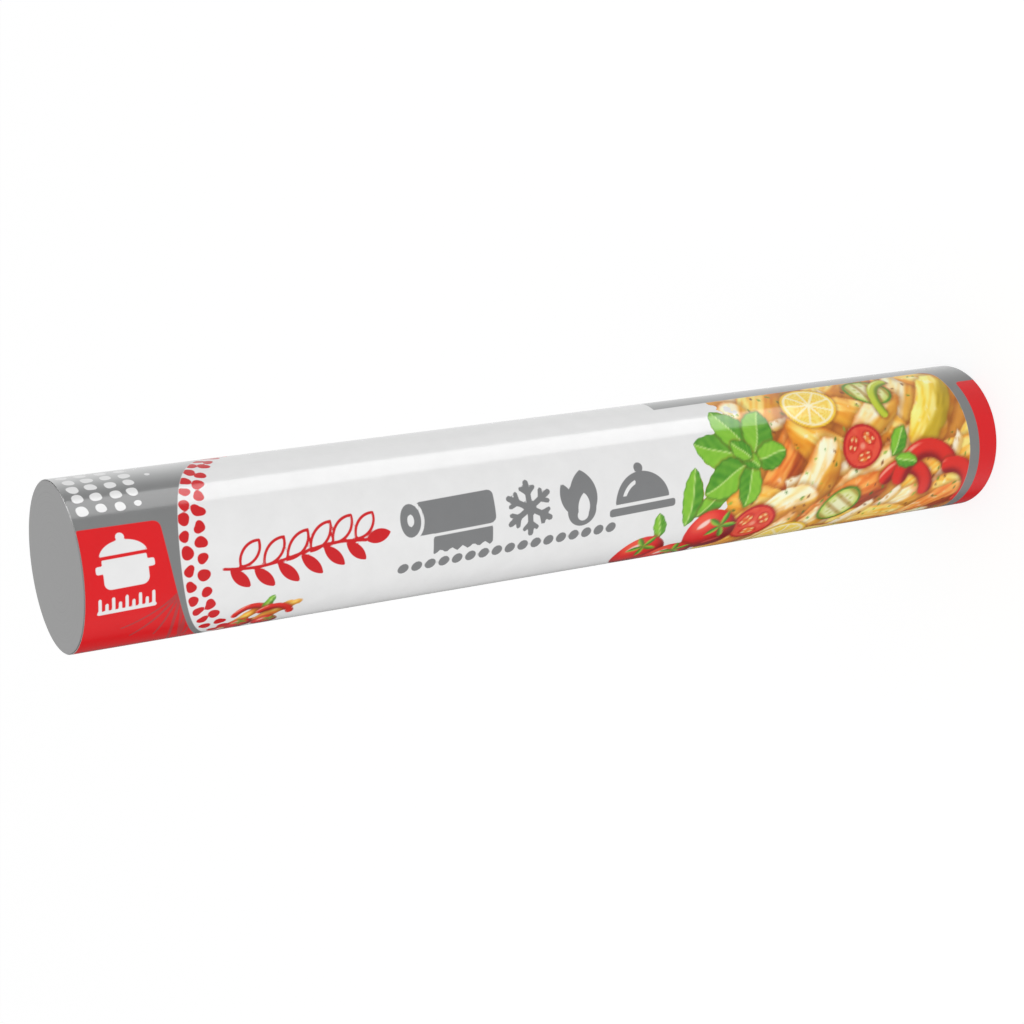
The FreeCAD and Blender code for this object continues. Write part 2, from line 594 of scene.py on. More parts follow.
@dataclass(frozen=True)
class PepperStrip(Motif):
    """A strip of roast pepper: part of a ring, rounded across and shining along its back."""

    spread: float = 130.0
    thickness: float = 3.4
    tone: PepperTone = PepperTone.RED

    def paint(self, canvas: Canvas) -> None:
        """The distance is to an arc: from the ring inside its spread, and from its ends beyond.

        Args:
            canvas: the picture so far, which gets this on top.
        """
        where, plane = canvas.window(self.centre, self.size, self.turn)
        radius = self.size / 2.0
        half = math.radians(self.spread / 2.0)
        angle = np.arctan2(plane.y, plane.x)
        r = np.hypot(plane.x, plane.y)
        end_x = radius * math.cos(half)
        end_y = radius * math.sin(half)
        to_end = np.hypot(plane.x - end_x, np.abs(plane.y) - end_y)
        offset = np.where(np.abs(angle) < half, np.abs(r - radius), to_end)
        distance = offset - self.thickness / 2.0
        canvas.shade(where, distance)
        across = (r - radius) / (self.thickness / 2.0)
        light = lit(plane, across * np.cos(angle), across * np.sin(angle))
        shaded, plain, shining = self.tone.value
        skin = blend(shaded, plain, smoothstep(0.1, 0.8, light))
        skin = blend(skin, shining, smoothstep(0.93, 1.0, light) * 0.85)
        canvas.lay(where, distance, skin)


@dataclass
class RoastPicture:
    """The printed picture: roast potato wedges with lemon, courgette, tomatoes, pepper and basil."""

    left: float = 196.0
    right: float = 290.0
    bottom: float = -46.0
    top: float = 27.0

    def bed(self) -> list[Motif]:
        """The heap of wedges with cheese between them, in rows from the back of the dish to its front.

        Returns:
            The motifs in the order in which they are painted.
        """
        rng = np.random.default_rng(SEED + 3)
        crusts = (Crust.GOLDEN, Crust.GOLDEN, Crust.CREAM, Crust.RUSSET, Crust.GOLDEN, Crust.CREAM)
        heap: list[Motif] = []
        rows = 8
        for row in range(rows):
            y = self.top - (row + 0.1) * (self.top - self.bottom) / rows
            start = self.left + 4.0 + 13.0 * (row % 2)
            for column in range(4):
                centre = (start + 26.0 * column + rng.uniform(-4.0, 4.0), y + rng.uniform(-2.5, 2.5))
                turn = rng.uniform(20.0, 58.0) if (row + column) % 4 else rng.uniform(-40.0, -5.0)
                length = rng.uniform(30.0, 42.0)
                width = rng.uniform(10.0, 15.0)
                bend = rng.uniform(-0.6, 0.6)
                crust = crusts[rng.integers(len(crusts))]
                heap.append(PotatoWedge(centre, length, turn, width, bend, crust))
            middle = (self.left + rng.uniform(20.0, 84.0), y - 3.0)
            heap.append(MeltedCheese(middle, rng.uniform(26.0, 40.0), rng.uniform(18.0, 50.0), 4.6))
        return heap

    def dressing(self) -> list[Motif]:
        """What lies on the heap and beside it.

        Returns:
            The motifs in the order in which they are painted.
        """
        return [
            LemonSlice((232.0, 16.5), 20.0, 12.0, 0.82),
            LemonSlice((222.0, -31.0), 20.0, 5.0, 0.80),
            PotatoWedge((277.0, 10.0), 33.0, 52.0, 12.5, 0.4, Crust.LIME),
            PotatoWedge((253.0, 9.0), 30.0, 34.0, 10.0, -0.4, Crust.CREAM),
            CourgetteSlice((257.0, 19.5), 16.5, -18.0),
            CourgetteSlice((239.0, -18.0), 16.0, 30.0),
            PepperStrip((267.0, 13.5), 20.0, 150.0, 100.0, 3.4, PepperTone.LIME),
            PepperStrip((262.0, -18.0), 21.0, 70.0, 125.0, 5.2),
            PepperStrip((271.0, -14.0), 22.0, 100.0, 125.0, 6.0),
            PepperStrip((281.0, -19.5), 20.0, 35.0, 120.0, 5.6),
            TomatoHalf((246.0, 0.5), 15.5, 25.0),
            TomatoHalf((207.0, -20.0), 16.0, 10.0),
            BasilLeaf((181.0, -17.0), 19.0, 80.0, 7.5),
            BasilLeaf((184.0, -14.0), 18.0, 38.0, 7.0),
            BasilLeaf((173.0, -20.0), 10.0, 100.0, 4.6),
            Tomato((191.5, -21.0), 18.5, -20.0),
            Tomato((168.5, -26.5), 17.5, 30.0),
            Tomato((180.5, -32.0), 17.5, 5.0),
            BasilLeaf((203.0, 1.5), 19.0, 158.0, 11.5),
            BasilLeaf((203.5, 0.5), 18.5, 204.0, 10.5),
            BasilLeaf((204.0, 2.0), 19.0, 112.0, 11.0),
            BasilLeaf((205.0, 0.5), 14.0, 255.0, 8.5),
            BasilLeaf((205.0, 2.0), 17.0, 62.0, 10.5),
            BasilLeaf((205.5, 1.0), 12.0, 8.0, 8.5),
            BasilLeaf((200.5, 4.5), 9.0, -42.0, 5.0),
            BasilLeaf((204.5, 1.5), 8.5, 135.0, 6.0),
            BasilLeaf((257.0, -4.0), 11.0, 55.0, 6.0),
            BasilLeaf((258.0, -4.5), 9.5, -15.0, 5.0),
        ]

    def garnish(self) -> list[Motif]:
        """The small group at the other side of the print, below the sprig.

        Returns:
            The motifs in the order in which they are painted.
        """
        return [
            PotatoWedge((44.0, -25.5), 14.0, 50.0, 3.4, 0.4),
            PotatoWedge((53.5, -23.5), 15.0, 28.0, 3.6, -0.4),
            PepperStrip((46.5, -25.5), 11.0, 95.0, 120.0, 2.2),
            BasilLeaf((49.0, -22.5), 6.5, 62.0, 2.8),
            PepperStrip((52.5, -27.0), 11.0, 75.0, 115.0, 2.4),
            PotatoWedge((48.5, -27.0), 12.0, 16.0, 3.0, 0.5, Crust.RUSSET),
            Tomato((44.2, -29.0), 7.6, 30.0),
            Tomato((51.6, -29.6), 7.6, -15.0),
        ]

    def scatter_herbs(self, canvas: Canvas) -> None:
        """Strews chopped herbs and ground pepper over the heap.

        Args:
            canvas: the picture so far, which gets this on top.
        """
        rng = np.random.default_rng(SEED + 7)
        tones = ("#4E8C1F", "#2F6414", "#6B3410", "#86B83A")
        for _ in range(260):
            centre = (rng.uniform(self.left, self.right), rng.uniform(self.bottom, self.top))
            where, plane = canvas.window(centre, 2.5, rng.uniform(0.0, 180.0))
            size = rng.uniform(0.35, 0.85)
            tone = tones[rng.integers(len(tones))]
            canvas.lay(where, plane.oval(size, size * 0.5), tone, strength=0.85)

    def paint(self, plane: Plane) -> Canvas:
        """Paints the whole picture, back to front.

        Args:
            plane: the places on the print where the picture's colour is wanted.

        Returns:
            The canvas, with its colours and its distance to the nearest paint.
        """
        canvas = Canvas(plane)
        everywhere = np.arange(len(plane.x))
        oven = blend("#B9601A", "#F2B548", canvas.cloud)
        edge = 202.0 - 13.0 * smoothstep(6.0, -30.0, plane.y) - plane.x
        edge += 9.0 * (canvas.cloud - 0.5) + 5.0 * (canvas.grain - 0.5)
        canvas.lay(everywhere, edge, oven)
        for motif in self.bed():
            motif.paint(canvas)
        canvas.cover = np.maximum(canvas.cover, edge)
        self.scatter_herbs(canvas)
        for motif in self.dressing() + self.garnish():
            motif.paint(canvas)
        return canvas


@dataclass
class PrintDesign:
    """The printed design: a grey ground, a white panel, red blocks, dots, signs and the picture.

    The printed lines climb a little along the roll, because the sheet was wrapped a little askew.
    The skew is in degrees, every place, length and radius in mm, and a climb or slant is a ratio.
    """

    plane: Plane
    canvas: Canvas = field(init=False)
    skew: float = 1.87
    print_reach: float = 44.0
    panel_left: float = 25.6
    panel_radius: float = 48.0
    panel_middle: float = -3.0
    panel_right: float = 288.5
    panel_corner: float = 5.0
    strip_start: float = 180.5
    strip_bottom: float = 24.4
    strip_climb: float = 0.021
    strip_slant: float = 0.12
    band_left: float = 292.45
    band_top: float = 18.3
    band_corner: float = 1.6
    block_left: float = 0.3
    block_right: float = 60.0
    block_top: float = 8.3
    block_corner: float = 2.2
    block_arc_centre: Point = (100.0, 8.0)
    block_arc_radius: float = 78.0

    def __post_init__(self) -> None:
        """Paints the picture once, because two of the fields need it."""
        self.canvas = RoastPicture().paint(self.plane)

    def slope(self) -> float:
        """How far the print climbs for each millimetre along the roll."""
        return math.tan(math.radians(self.skew))

    def panel(self) -> Field:
        """The white panel: a round left end, a slanted right edge and a step where the grey strip is.

        Returns:
            Distances in mm at every place of the print.
        """
        x, y = self.plane.x, self.plane.y
        left_centre = (self.panel_left + self.panel_radius, self.panel_middle)
        shape = self.plane.about(left_centre).bar(self.panel_right, self.panel_radius)
        right = (x - self.panel_right + self.slope() * y) / math.hypot(1.0, self.slope())
        top = y - self.strip_bottom - self.strip_climb * (x - self.strip_start)
        start = self.strip_start + self.strip_slant * (y - self.strip_bottom) - x
        rounded = smooth_max(right, top, self.panel_corner)
        sharp = np.maximum(right, np.minimum(top, -start))
        stepped = np.where(x > self.strip_start + 4.0 * self.panel_corner, rounded, sharp)
        return np.maximum.reduce((shape, stepped, np.abs(y) - self.print_reach))

    def red_block(self) -> Field:
        """The red block at the upper end, cut by a wide arc on its right.

        Returns:
            Distances in mm at every place of the print.
        """
        arc = -self.plane.about(self.block_arc_centre).disc(self.block_arc_radius)
        top = self.plane.y - self.block_top
        block = smooth_max(arc, top, self.block_corner)
        ends = np.maximum(self.plane.x - self.block_right, self.block_left - self.plane.x)
        return np.maximum.reduce((block, ends, -self.print_reach - self.plane.y))

    def red_band(self) -> Field:
        """The red band at the lower end, slanted as the print is.

        Returns:
            Distances in mm at every place of the print.
        """
        left = self.band_left - self.slope() * self.plane.y - self.plane.x
        band = smooth_max(left, self.plane.y - self.band_top, self.band_corner)
        return np.maximum(band, -self.print_reach - self.plane.y)

    def border_dots(self) -> Field:
        """Two rows of hand-cut red dots that follow the panel's round end, set between each other.

        Returns:
            Distances in mm at every place of the print.
        """
        rng = np.random.default_rng(SEED + 1)
        pitch = 4.35
        dots = self.plane.nothing()
        rows = (((74.05, -1.7), 46.75), ((77.3, -1.5), 45.95))
        for row, ((x, y), ring) in enumerate(rows):
            step = pitch / ring
            count = int(1.25 / step)
            for i in range(-count, count + 1):
                angle = (i + 0.5 * row) * step + rng.uniform(-0.012, 0.012)
                reach = ring + rng.uniform(-0.35, 0.35)
                place = (x - reach * math.cos(angle), y + reach * math.sin(angle))
                uneven = (rng.uniform(0.05, 0.15), rng.uniform(0.0, 6.3), rng.uniform(0.0, 6.3))
                size = rng.uniform(1.46, 1.84)
                dots = np.minimum(dots, self.plane.about(place).blob(size, uneven))
        return np.maximum(dots, self.panel() + 0.05)

    def grey_field_dots(self) -> Field:
        """Rows of white dots on the grey ground, a little squarer than round, with one stray.

        Returns:
            Distances in mm at every place of the print.
        """
        rng = np.random.default_rng(SEED + 2)
        dots = self.plane.nothing()
        for row in range(5):
            y = 13.7 + 4.1 * row
            for column, x in enumerate((3.45, 8.2, 13.3, 18.1)):
                place = (x + rng.uniform(-0.25, 0.3), y + rng.uniform(-0.25, 0.25))
                uneven = (rng.uniform(0.05, 0.12), rng.uniform(0.0, 6.3), rng.uniform(0.0, 6.3))
                size = 1.0 if (row, column) == (0, 3) else rng.uniform(1.42, 1.62)
                spot = self.plane.about(place, 8.0)
                square = spot.box(size * 0.94, size * 0.9, 0.9)
                round_one = spot.blob(size, uneven)
                dots = np.minimum(dots, 0.45 * square + 0.55 * round_one)
        dots = np.minimum(dots, self.plane.about((24.3, 25.1)).disc(0.75))
        return dots

    def casserole_sign(self) -> Field:
        """A white sign on the red block: a pot with two handles under its lid.

        Returns:
            Distances in mm at every place of the print.
        """
        sign = self.plane.about((11.1, -0.9), self.skew)
        pot = np.maximum(sign.about((0.0, -1.6)).box(5.9, 5.1, 1.9), sign.y - 1.0)
        handles = sign.about((0.0, -1.4)).box(7.7, 1.0, 0.5)
        lid = np.maximum(sign.about((0.0, 1.2)).oval(6.4, 4.2), 1.9 - sign.y)
        knob = sign.about((0.0, 6.1)).disc(1.15)
        return joined(pot, handles, lid, knob)

    def ruler_sign(self) -> Field:
        """A short white ruler under the pot, with every other tick longer.

        Returns:
            Distances in mm at every place of the print.
        """
        ruler = self.plane.about((3.9, -14.0), self.skew)
        shape = ruler.bar(14.6, 0.5)
        for tick in range(9):
            mark = ruler.about((0.3 + 1.75 * tick, 0.0), 90.0)
            shape = np.minimum(shape, mark.bar(3.7 if tick % 2 == 0 else 2.2, 0.42))
        return shape

    def sprig(self) -> Field:
        """A red sprig of leaves: filled on its lower side, drawn in outline on its upper side.

        Returns:
            Distances in mm at every place of the print.
        """
        sprig = self.plane.about((57.6, -6.0), self.skew)
        bend = 1.3 * np.sin(sprig.x / 7.0)
        shape = np.maximum(np.abs(sprig.y - bend) - 0.42, np.abs(sprig.x + 0.5) - 20.5)
        for pair in range(6):
            x = -19.0 + 6.6 * pair
            y = 1.3 * math.sin(x / 7.0)
            length = 9.6 - 0.5 * abs(pair - 2.5)
            lower = sprig.about((x, y - 0.1), -47.0).leaf(length, 1.65)
            upper = sprig.about((x + 3.0, y + 0.1), 47.0).leaf(length, 2.1)
            shape = joined(shape, lower, np.abs(upper) - 0.4)
        tip = sprig.about((19.8, 1.3 * math.sin(19.8 / 7.0)), 8.0).leaf(7.5, 1.9)
        return np.minimum(shape, tip)

    def pulled_roll_sign(self, sign: Plane) -> Field:
        """A bold roll with a sheet hanging from it, cut along a row of teeth.

        Args:
            sign: the print as seen from the sign's middle.

        Returns:
            Distances in mm at every place of the print.
        """
        body = sign.about((0.0, 2.6)).box(14.0, 4.6, 1.6)
        end = sign.about((-12.0, 2.6))
        gap = np.abs(end.oval(3.6, 5.1)) - 0.5
        hole = end.oval(1.0, 1.7)
        body = np.maximum(np.minimum(body, end.oval(3.1, 4.6)), -np.minimum(gap, hole))
        wave = 1.3 * (2.0 * np.abs((sign.x / 3.4) % 1.0 - 0.5))
        hanging = sign.about((3.6, -4.2)).box(9.2, 5.0, 0.4)
        hanging = np.maximum(hanging, -8.2 + wave - sign.y)
        seam = np.abs(sign.y + 2.5) - 0.4
        return np.minimum(body, np.maximum(hanging, -seam))

    def snowflake_sign(self, sign: Plane) -> Field:
        """Six arms at sixty degrees, each with two side twigs.

        Args:
            sign: the print as seen from the sign's middle.

        Returns:
            Distances in mm at every place of the print.
        """
        shape = sign.disc(0.9)
        for arm in range(6):
            ray = sign.about((0.0, 0.0), 60.0 * arm + 30.0)
            twigs = [ray.about((4.1, 0.0), side).bar(2.5, 0.68) for side in (50.0, -50.0)]
            shape = joined(shape, ray.bar(7.2, 0.86), *twigs)
        return shape

    def flame_sign(self, sign: Plane) -> Field:
        """A broad flame with a smaller one cut out of its foot.

        Args:
            sign: the print as seen from the sign's middle.

        Returns:
            Distances in mm at every place of the print.
        """
        outer = joined(
            sign.about((0.2, -7.8), 86.0).leaf(16.0, 4.6),
            sign.about((0.0, -3.2)).disc(4.7),
            sign.about((-3.4, -4.0), 104.0).leaf(9.5, 2.0),
        )
        inner = joined(sign.about((0.3, -6.4), 84.0).leaf(8.0, 1.9), sign.about((0.3, -4.6)).disc(1.8))
        return np.maximum(outer, -inner)

    def covered_dish_sign(self, sign: Plane) -> Field:
        """A domed cover with a knob on a flat dish.

        Args:
            sign: the print as seen from the sign's middle.

        Returns:
            Distances in mm at every place of the print.
        """
        dome = np.maximum(sign.about((0.0, -4.6)).disc(9.2), -3.9 - sign.y)
        shine = np.maximum(np.abs(sign.about((0.0, -4.6)).disc(6.6)) - 0.55, sign.x + 1.8)
        shine = np.maximum(shine, -1.8 - sign.y)
        knob = sign.about((0.0, 5.7)).disc(1.5)
        dish = sign.about((0.0, -6.1)).box(11.2, 1.2, 0.8)
        return joined(np.maximum(dome, -shine), knob, dish)

    def kitchen_signs(self) -> Field:
        """A row of bold grey signs for what the foil is used for: roll, freezer, grill and table.

        Returns:
            Distances in mm at every place of the print.
        """
        row = self.plane.about((132.0, -3.3), self.skew)
        return joined(
            self.pulled_roll_sign(row.about((-29.0, 0.4))),
            self.snowflake_sign(row.about((-4.2, 0.4))),
            self.flame_sign(row.about((12.6, 0.3))),
            self.covered_dish_sign(row.about((33.0, 0.4))),
        )

    def grey_ovals(self) -> Field:
        """The row of grey ovals that underlines the signs.

        Returns:
            Distances in mm at every place of the print.
        """
        line = self.plane.about((88.9, -15.3), 2.4)
        ovals = [line.about((4.12 * i, 0.0), 35.0).oval(1.69, 1.53) for i in range(17)]
        return np.minimum.reduce(ovals)

    def fan_strokes(self) -> Field:
        """Thin strokes that fan out over the lower corner of the red block.

        Returns:
            Distances in mm at every place of the print.
        """
        rng = np.random.default_rng(SEED + 5)
        shape = self.plane.nothing()
        for stroke in range(8):
            angle = -137.0 + 11.0 * stroke
            fan = self.plane.about((24.5 + 0.35 * stroke, -11.5), angle)
            bent = Plane(fan.x, fan.y + 0.012 * fan.x**2 * math.cos(stroke))
            shape = np.minimum(shape, bent.bar(18.0 + rng.uniform(-3.0, 6.0), rng.uniform(0.3, 0.5)))
        return np.maximum(shape, self.red_block())

    def painted_sheen(self) -> Field:
        """Painted sheen: the grey ground painted paler along its top in place of the varnish's reflection
        there; less so beyond the panel, plain behind.
        """
        along = 1.0 - 0.4 * smoothstep(60.0, 180.0, self.plane.x)
        return along * smoothstep(17.8, 30.5, self.plane.y) * smoothstep(62.0, 44.0, self.plane.y)

    def fields(self) -> dict[str, Field]:
        """Every ink's field, under the name of the mesh attribute that holds it.

        Returns:
            Distances in mm for each ink, and the painted sheen on the grey ground from 0 to 1.
        """
        panel = self.panel()
        return {
            "panel": panel,
            "picture": np.maximum(self.canvas.cover, panel),
            "grey_ink": joined(self.kitchen_signs(), self.grey_ovals()),
            "red_ink": joined(self.red_block(), self.red_band()),
            "deep_red_ink": joined(self.border_dots(), self.sprig()),
            "white_ink": joined(self.grey_field_dots(), self.casserole_sign(), self.ruler_sign()),
            "fan_ink": self.fan_strokes(),
            "painted_sheen": self.painted_sheen(),
        }


def node(
    tree: bpy.types.NodeTree, kind: str, settings: dict | None = None, links: dict | None = None
) -> bpy.types.Node:
    """Adds a node to a tree, sets its properties and inputs, and links its inputs.

    Args:
        tree: the material's or world's node tree.
        kind: the node's type in Blender.
        settings: properties by name, and input values by their socket's name or number.
        links: output sockets by the name or number of the input that they feed.

    Returns:
        The new node.
    """
    made = tree.nodes.new(kind)
    for name, value in (settings or {}).items():
        if isinstance(name, str) and hasattr(made, name):
            setattr(made, name, value)
        else:
            made.inputs[name].default_value = value
    for name, output in (links or {}).items():
        tree.links.new(output, made.inputs[name])
    return made


def new_material(name: str) -> tuple[bpy.types.Material, bpy.types.NodeTree]:
    """An empty node material and its tree.

    Args:
        name: the material's name.

    Returns:
        The material and its node tree.
    """
    material = bpy.data.materials.new(name)
    material.use_nodes = True
    material.node_tree.nodes.clear()
    return material, material.node_tree


@dataclass(frozen=True)
class OffsetPrintedPaper:
    """Coated wrapping paper, offset printed and varnished.

    A varnish usually has an index of about 1.45 and a roughness of about 0.2. Here both are a little
    lower, so that the gleam is as narrow and the outline as little whitened as on the real roll.
    """

    ground: str = "#7F8080"
    # Painted sheen: the paler grey that the ground is painted towards along its top, a painted reflection
    # of the varnish.
    sheen_grey: str = "#CFD0D0"
    paper: str = "#EBEBEB"
    sign_grey: str = "#7E7F80"
    red: str = "#DF0813"
    deep_red: str = "#CE1119"
    fan_grey: str = "#8C4A4A"
    ink_edge_mm: float = 0.14
    fibre_mm: float = 0.5
    fibre_relief: float = 0.12
    mottle_mm: float = 6.0
    mottle_range: Pair = (0.975, 1.015)
    varnish_roughness: float = 0.13
    varnish_ior: float = 1.36

    def ink(self, tree: bpy.types.NodeTree, attribute: str, share: float) -> bpy.types.NodeSocket:
        """How much of an ink there is: its share where the distance is below zero, with a crisp edge.

        Args:
            tree: the material's node tree.
            attribute: the mesh attribute with the ink's distances.
            share: how opaque the ink is.

        Returns:
            The socket with the amount, from 0 to the share.
        """
        stored = node(tree, "ShaderNodeAttribute", {"attribute_name": attribute})
        edge = self.ink_edge_mm
        return node(
            tree,
            "ShaderNodeMapRange",
            {"interpolation_type": "SMOOTHSTEP", "From Min": edge, "From Max": -edge, "To Max": share},
            {"Value": stored.outputs["Fac"]},
        ).outputs["Result"]

    def printed(self, tree: bpy.types.NodeTree) -> bpy.types.NodeSocket:
        """The colour of the print: a grey ground with its painted sheen, then each ink laid over the ones
        before it.

        Args:
            tree: the material's node tree.

        Returns:
            The socket with the colour.
        """
        # Painted sheen: the ground's grey is painted paler along its top, a painted reflection.
        sheen_share = node(tree, "ShaderNodeAttribute", {"attribute_name": "painted_sheen"})
        picture = node(tree, "ShaderNodeAttribute", {"attribute_name": "picture_colour"})
        colour = node(
            tree,
            "ShaderNodeMix",
            {"data_type": "RGBA", 6: rgba(self.ground), 7: rgba(self.sheen_grey)},
            {0: sheen_share.outputs["Fac"]},
        ).outputs[2]
        inks = (
            ("panel", self.paper, 1.0),
            ("picture", picture.outputs["Color"], 1.0),
            ("grey_ink", self.sign_grey, 1.0),
            ("red_ink", self.red, 1.0),
            ("deep_red_ink", self.deep_red, 1.0),
            ("fan_ink", self.fan_grey, 0.55),
            ("white_ink", self.paper, 1.0),
        )
        for attribute, top, share in inks:
            plain = isinstance(top, str)
            settings = {"data_type": "RGBA"} | ({7: rgba(top)} if plain else {})
            links = {0: self.ink(tree, attribute, share), 6: colour} | ({} if plain else {7: top})
            colour = node(tree, "ShaderNodeMix", settings, links).outputs[2]
        return colour

    def build(self) -> bpy.types.Material:
        """The whole material: inks, mottle, fibre relief and varnish.

        Returns:
            The material.
        """
        # To the eye: flat, dense inks with crisp edges, a solid grey that is a little cloudy from the press
        # and painted paler along the top as a painted sheen, and over it all one thin varnish that mirrors
        # softly and whitens the outline.
        # The fibres are about 0.02 mm wide and are drawn 0.5 mm wide, so that they show.
        material, tree = new_material("offset_printed_varnished_paper")
        place = node(tree, "ShaderNodeTexCoord").outputs["Object"]
        mottle = node(
            tree,
            "ShaderNodeTexNoise",
            {"Scale": 1.0 / (self.mottle_mm * MM), "Detail": 3.0, "Roughness": 0.55},
            {"Vector": place},
        )
        darkest, palest = self.mottle_range
        uneven = node(
            tree,
            "ShaderNodeMapRange",
            {"From Min": 0.3, "From Max": 0.7, "To Min": darkest, "To Max": palest},
            {"Value": mottle.outputs["Fac"]},
        )
        inked = node(
            tree,
            "ShaderNodeVectorMath",
            {"operation": "SCALE"},
            {0: self.printed(tree), "Scale": uneven.outputs["Result"]},
        )
        fibre = node(
            tree,
            "ShaderNodeTexNoise",
            {"Scale": 1.0 / (self.fibre_mm * MM), "Detail": 2.0, "Roughness": 0.6},
            {"Vector": place},
        )
        relief = node(
            tree,
            "ShaderNodeBump",
            {"Strength": self.fibre_relief, "Distance": 0.01 * MM},
            {"Height": fibre.outputs["Fac"]},
        )
        shader = node(
            tree,
            "ShaderNodeBsdfPrincipled",
            {"Roughness": self.varnish_roughness, "IOR": self.varnish_ior},
            {"Base Color": inked.outputs[0], "Normal": relief.outputs["Normal"]},
        )
        node(tree, "ShaderNodeOutputMaterial", links={"Surface": shader.outputs["BSDF"]})
        return material


@dataclass(frozen=True)
class WoundFoil:
    """Cold-rolled aluminium foil, slit and wound.

    The foil's own face has a roughness of 0.2 to 0.35. The slit edges are rougher and a darker grey.
    """

    colour: str = "#8E8E8E"
    bright: str = "#969696"
    roughness: float = 0.44
    line_mm: float = 0.35
    line_relief: float = 0.25

    def build(self) -> bpy.types.Material:
        """Faint rings about the axis in a satin metal.

        Returns:
            The material.
        """
        # To the eye: the slit edges of hundreds of turns, which together are an even satin grey with
        # faint rings, far duller than the foil's face. A turn is 0.011 mm thick, and the rings are
        # drawn 0.35 mm apart so that they show.
        material, tree = new_material("slit_wound_aluminium_foil")
        place = node(tree, "ShaderNodeTexCoord").outputs["Object"]
        flat = node(tree, "ShaderNodeVectorMath", {"operation": "MULTIPLY", 1: (1.0, 1.0, 0.0)}, {0: place})
        radius = node(tree, "ShaderNodeVectorMath", {"operation": "LENGTH"}, {0: flat.outputs[0]})
        rings = node(
            tree,
            "ShaderNodeTexNoise",
            {"noise_dimensions": "1D", "Scale": 1.0 / (self.line_mm * MM), "Detail": 2.0},
            {"W": radius.outputs["Value"]},
        )
        tone = node(
            tree,
            "ShaderNodeMapRange",
            {"From Min": 0.25, "From Max": 0.75},
            {"Value": rings.outputs["Fac"]},
        )
        colour = node(
            tree,
            "ShaderNodeMix",
            {"data_type": "RGBA", 6: rgba(self.colour), 7: rgba(self.bright)},
            {0: tone.outputs["Result"]},
        )
        relief = node(
            tree,
            "ShaderNodeBump",
            {"Strength": self.line_relief, "Distance": 0.01 * MM},
            {"Height": rings.outputs["Fac"]},
        )
        shader = node(
            tree,
            "ShaderNodeBsdfPrincipled",
            {"Metallic": 1.0, "Roughness": self.roughness},
            {"Base Color": colour.outputs[2], "Normal": relief.outputs["Normal"]},
        )
        node(tree, "ShaderNodeOutputMaterial", links={"Surface": shader.outputs["BSDF"]})
        return material


def stretches(marks: tuple[Pair, ...], end: float) -> Field:
    """Values that rise in even steps, with a step of its own from each mark to the next.

    Args:
        marks: where each stretch starts, and about how long its steps are.
        end: where the last stretch ends.

    Returns:
        The values in order, with both ends in.
    """
    stops = [start for start, _ in marks[1:]] + [end]
    parts = []
    for (start, step), stop in zip(marks, stops):
        count = max(1, round((stop - start) / step))
        parts.append(np.linspace(start, stop, count, endpoint=False))
    return np.concatenate(parts + [np.array([end])])


def ring_faces(rings: int, columns: int) -> Indices:
    """Four-sided faces between neighbouring rings, whose corners are numbered ring by ring.

    Args:
        rings: how many rings there are.
        columns: how many faces go round. A ring has one corner more, as its last is over its first.

    Returns:
        The corners' numbers, four to a face.
    """
    corner = np.arange(rings * (columns + 1)).reshape(rings, columns + 1)
    sides = (corner[:-1, :-1], corner[1:, :-1], corner[1:, 1:], corner[:-1, 1:])
    return np.stack(sides, axis=-1).reshape(-1, 4)


def ring_vertices(rings: int, columns: int, start: int = 0) -> Indices:
    """The vertex under each corner of such rings, where the last corner is the first vertex again."""
    number = start + np.arange(rings * columns).reshape(rings, columns)
    return np.pad(number, ((0, 0), (0, 1)), mode="wrap").ravel()


def new_mesh(name: str, vertices: Field, groups: list[Indices]) -> bpy.types.Mesh:
    """A smooth mesh from whole arrays.

    Args:
        name: the mesh's name.
        vertices: their places in mm, in rows.
        groups: rows of vertex numbers, a row to a face. The faces of a group have equally many sides.

    Returns:
        The mesh, in metres.
    """
    sides = np.concatenate([np.full(len(group), group.shape[1]) for group in groups])
    corners = np.concatenate([group.ravel() for group in groups])
    mesh = bpy.data.meshes.new(name)
    mesh.vertices.add(len(vertices))
    mesh.vertices.foreach_set("co", (vertices * MM).ravel())
    mesh.loops.add(len(corners))
    mesh.loops.foreach_set("vertex_index", corners)
    mesh.polygons.add(len(sides))
    mesh.polygons.foreach_set("loop_start", np.cumsum(sides) - sides)
    mesh.polygons.foreach_set("use_smooth", np.ones(len(sides), bool))
    mesh.update(calc_edges=True)
    return mesh


def add_piece(mesh: bpy.types.Mesh, name: str, cad_node: str) -> bpy.types.Object:
    """Puts a mesh into the scene as a piece that rides on the part and stands for one of its nodes.

    Args:
        mesh: the finished mesh, in metres and in the part's own frame.
        name: the piece's name.
        cad_node: the node of the part that it replaces.

    Returns:
        The new object.
    """
    piece = bpy.data.objects.new(name, mesh)
    bpy.context.scene.collection.objects.link(piece)
    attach(piece, "root")
    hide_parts(cad_node)
    return piece


@dataclass(frozen=True)
class Loop:
    """A closed line round the roll: angles in degrees from the print's middle, and radii in mm."""

    angles: Field
    radii: Field

    def at(self, heights: Field) -> Field:
        """One ring of vertices at each height: R sin A across, and -R cos A in depth.

        Args:
            heights: the rings' heights in mm.

        Returns:
            The vertices in rows, ring by ring.
        """
        angle = np.radians(self.angles)
        across = np.tile(self.radii * np.sin(angle), len(heights))
        depth = np.tile(-self.radii * np.cos(angle), len(heights))
        return np.stack((across, depth, np.repeat(heights, len(angle))), axis=1)


def across_layout(share: Field) -> Field:
    """Places from the left to the right of the flat layout, for shares from 0 to 1."""
    margin = 0.01
    return margin + (1.0 - 2.0 * margin) * share


